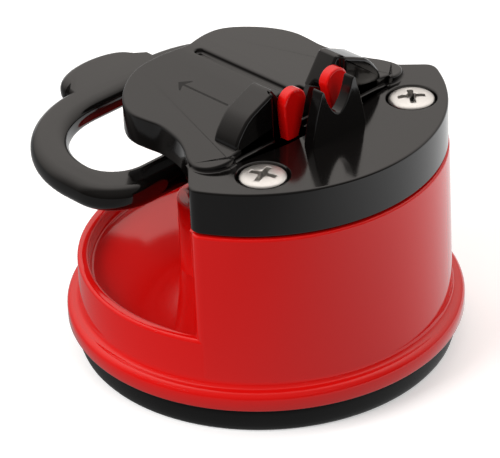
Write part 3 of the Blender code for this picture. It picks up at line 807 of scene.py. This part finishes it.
# the camera sees a pale floor; reflections see one that is darker on the camera's side
seen = node(tree, "ShaderNodeLightPath")
pale = node(tree, "ShaderNodeBsdfDiffuse", Color=(0.90, 0.90, 0.90, 1))
lift = node(tree, "ShaderNodeEmission", Color=(1, 1, 1, 1), Strength=0.30)
bright = node(tree, "ShaderNodeAddShader")
place = node(tree, "ShaderNodeNewGeometry")
depth = node(tree, "ShaderNodeVectorMath", operation="DOT_PRODUCT")
depth.inputs[1].default_value = (0.25, 0.95, 0)
fall = node(tree, "ShaderNodeMapRange", interpolation_type="SMOOTHSTEP")
fall.inputs["From Min"].default_value = -0.06
fall.inputs["From Max"].default_value = 0.10
fall.inputs["To Min"].default_value = 0.25
fall.inputs["To Max"].default_value = 1.15
tree.links.new(place.outputs["Position"], depth.inputs[0])
tree.links.new(depth.outputs["Value"], fall.inputs["Value"])
dim = node(tree, "ShaderNodeEmission", Color=(1, 1, 1, 1))
tree.links.new(fall.outputs["Result"], dim.inputs["Strength"])
choose = node(tree, "ShaderNodeMixShader")
output = node(tree, "ShaderNodeOutputMaterial")
tree.links.new(pale.outputs[0], bright.inputs[0])
tree.links.new(lift.outputs[0], bright.inputs[1])
tree.links.new(seen.outputs["Is Camera Ray"], choose.inputs[0])
tree.links.new(dim.outputs[0], choose.inputs[1])
tree.links.new(bright.outputs[0], choose.inputs[2])
tree.links.new(choose.outputs[0], output.inputs["Surface"])
floor.data.materials.append(floor_material)

VIEW_X, VIEW_Y = 0.725, -0.688          # towards the camera, on plan
RIGHT_X, RIGHT_Y = 0.688, 0.725         # towards the right of the view, on plan

# a studio that is bright behind and above the object and dimmer on the camera's side
world = bpy.data.worlds.new("studio")
bpy.context.scene.world = world
world.use_nodes = True
tree = world.node_tree
direction = node(tree, "ShaderNodeTexCoord")
dot = node(tree, "ShaderNodeVectorMath", operation="DOT_PRODUCT")
dot.inputs[1].default_value = (-VIEW_X, -VIEW_Y, 0)
away = node(tree, "ShaderNodeMapRange", interpolation_type="SMOOTHSTEP")
away.inputs["From Min"].default_value = -0.35
away.inputs["From Max"].default_value = 0.45
away.inputs["To Min"].default_value = 0.16
away.inputs["To Max"].default_value = 1.0
parts = node(tree, "ShaderNodeSeparateXYZ")
height = node(tree, "ShaderNodeMapRange")
height.inputs["From Min"].default_value = 0.0
height.inputs["From Max"].default_value = 1.0
height.inputs["To Min"].default_value = 0.35
height.inputs["To Max"].default_value = 1.75
product = node(tree, "ShaderNodeMath", operation="MULTIPLY")
tree.links.new(direction.outputs["Generated"], dot.inputs[0])
tree.links.new(direction.outputs["Generated"], parts.inputs[0])
tree.links.new(dot.outputs["Value"], away.inputs["Value"])
tree.links.new(parts.outputs["Z"], height.inputs["Value"])
tree.links.new(away.outputs["Result"], product.inputs[0])
tree.links.new(height.outputs["Result"], product.inputs[1])
tree.links.new(product.outputs[0], tree.nodes["Background"].inputs["Strength"])
tree.nodes["Background"].inputs["Color"].default_value = (1.0, 0.94, 0.89, 1)


def around(right, towards, up):
    return (RIGHT_X * right + VIEW_X * towards, RIGHT_Y * right + VIEW_Y * towards, up)


key = area("key_softbox", around(-0.55, 0.30, 0.42), (0, 0, 0.03), 0.45, 4.8)
fill = area("fill_softbox", around(0.35, 0.55, 0.50), (0, 0, 0.03), 0.40, 2.0)
for lamp in (key, fill):
    lamp.visible_glossy = False

bpy.context.scene.view_settings.view_transform = "Standard"

ELEVATION = math.radians(30.46)
DISTANCE = 0.4803
ROLL = math.radians(-2.21)
AIM = Vector((AXIS_X * MM, 0, 0.025))
camera_data = bpy.data.cameras.new("camera")
camera_data.sensor_width = 36
camera_data.lens = 216
camera_data.shift_x = -0.0244
camera_data.shift_y = -0.071
camera_data.clip_start = 0.01
camera_data.clip_end = 50
camera = bpy.data.objects.new("camera", camera_data)
bpy.context.scene.collection.objects.link(camera)
offset = Vector((math.cos(ELEVATION) * VIEW_X, math.cos(ELEVATION) * VIEW_Y, math.sin(ELEVATION)))
camera.location = AIM + offset * DISTANCE
camera.rotation_mode = "QUATERNION"
facing = (-offset).to_track_quat("-Z", "Y")
camera.rotation_quaternion = facing @ Matrix.Rotation(ROLL, 3, "Z").to_quaternion()
bpy.context.scene.camera = camera

bpy.context.view_layer.update()
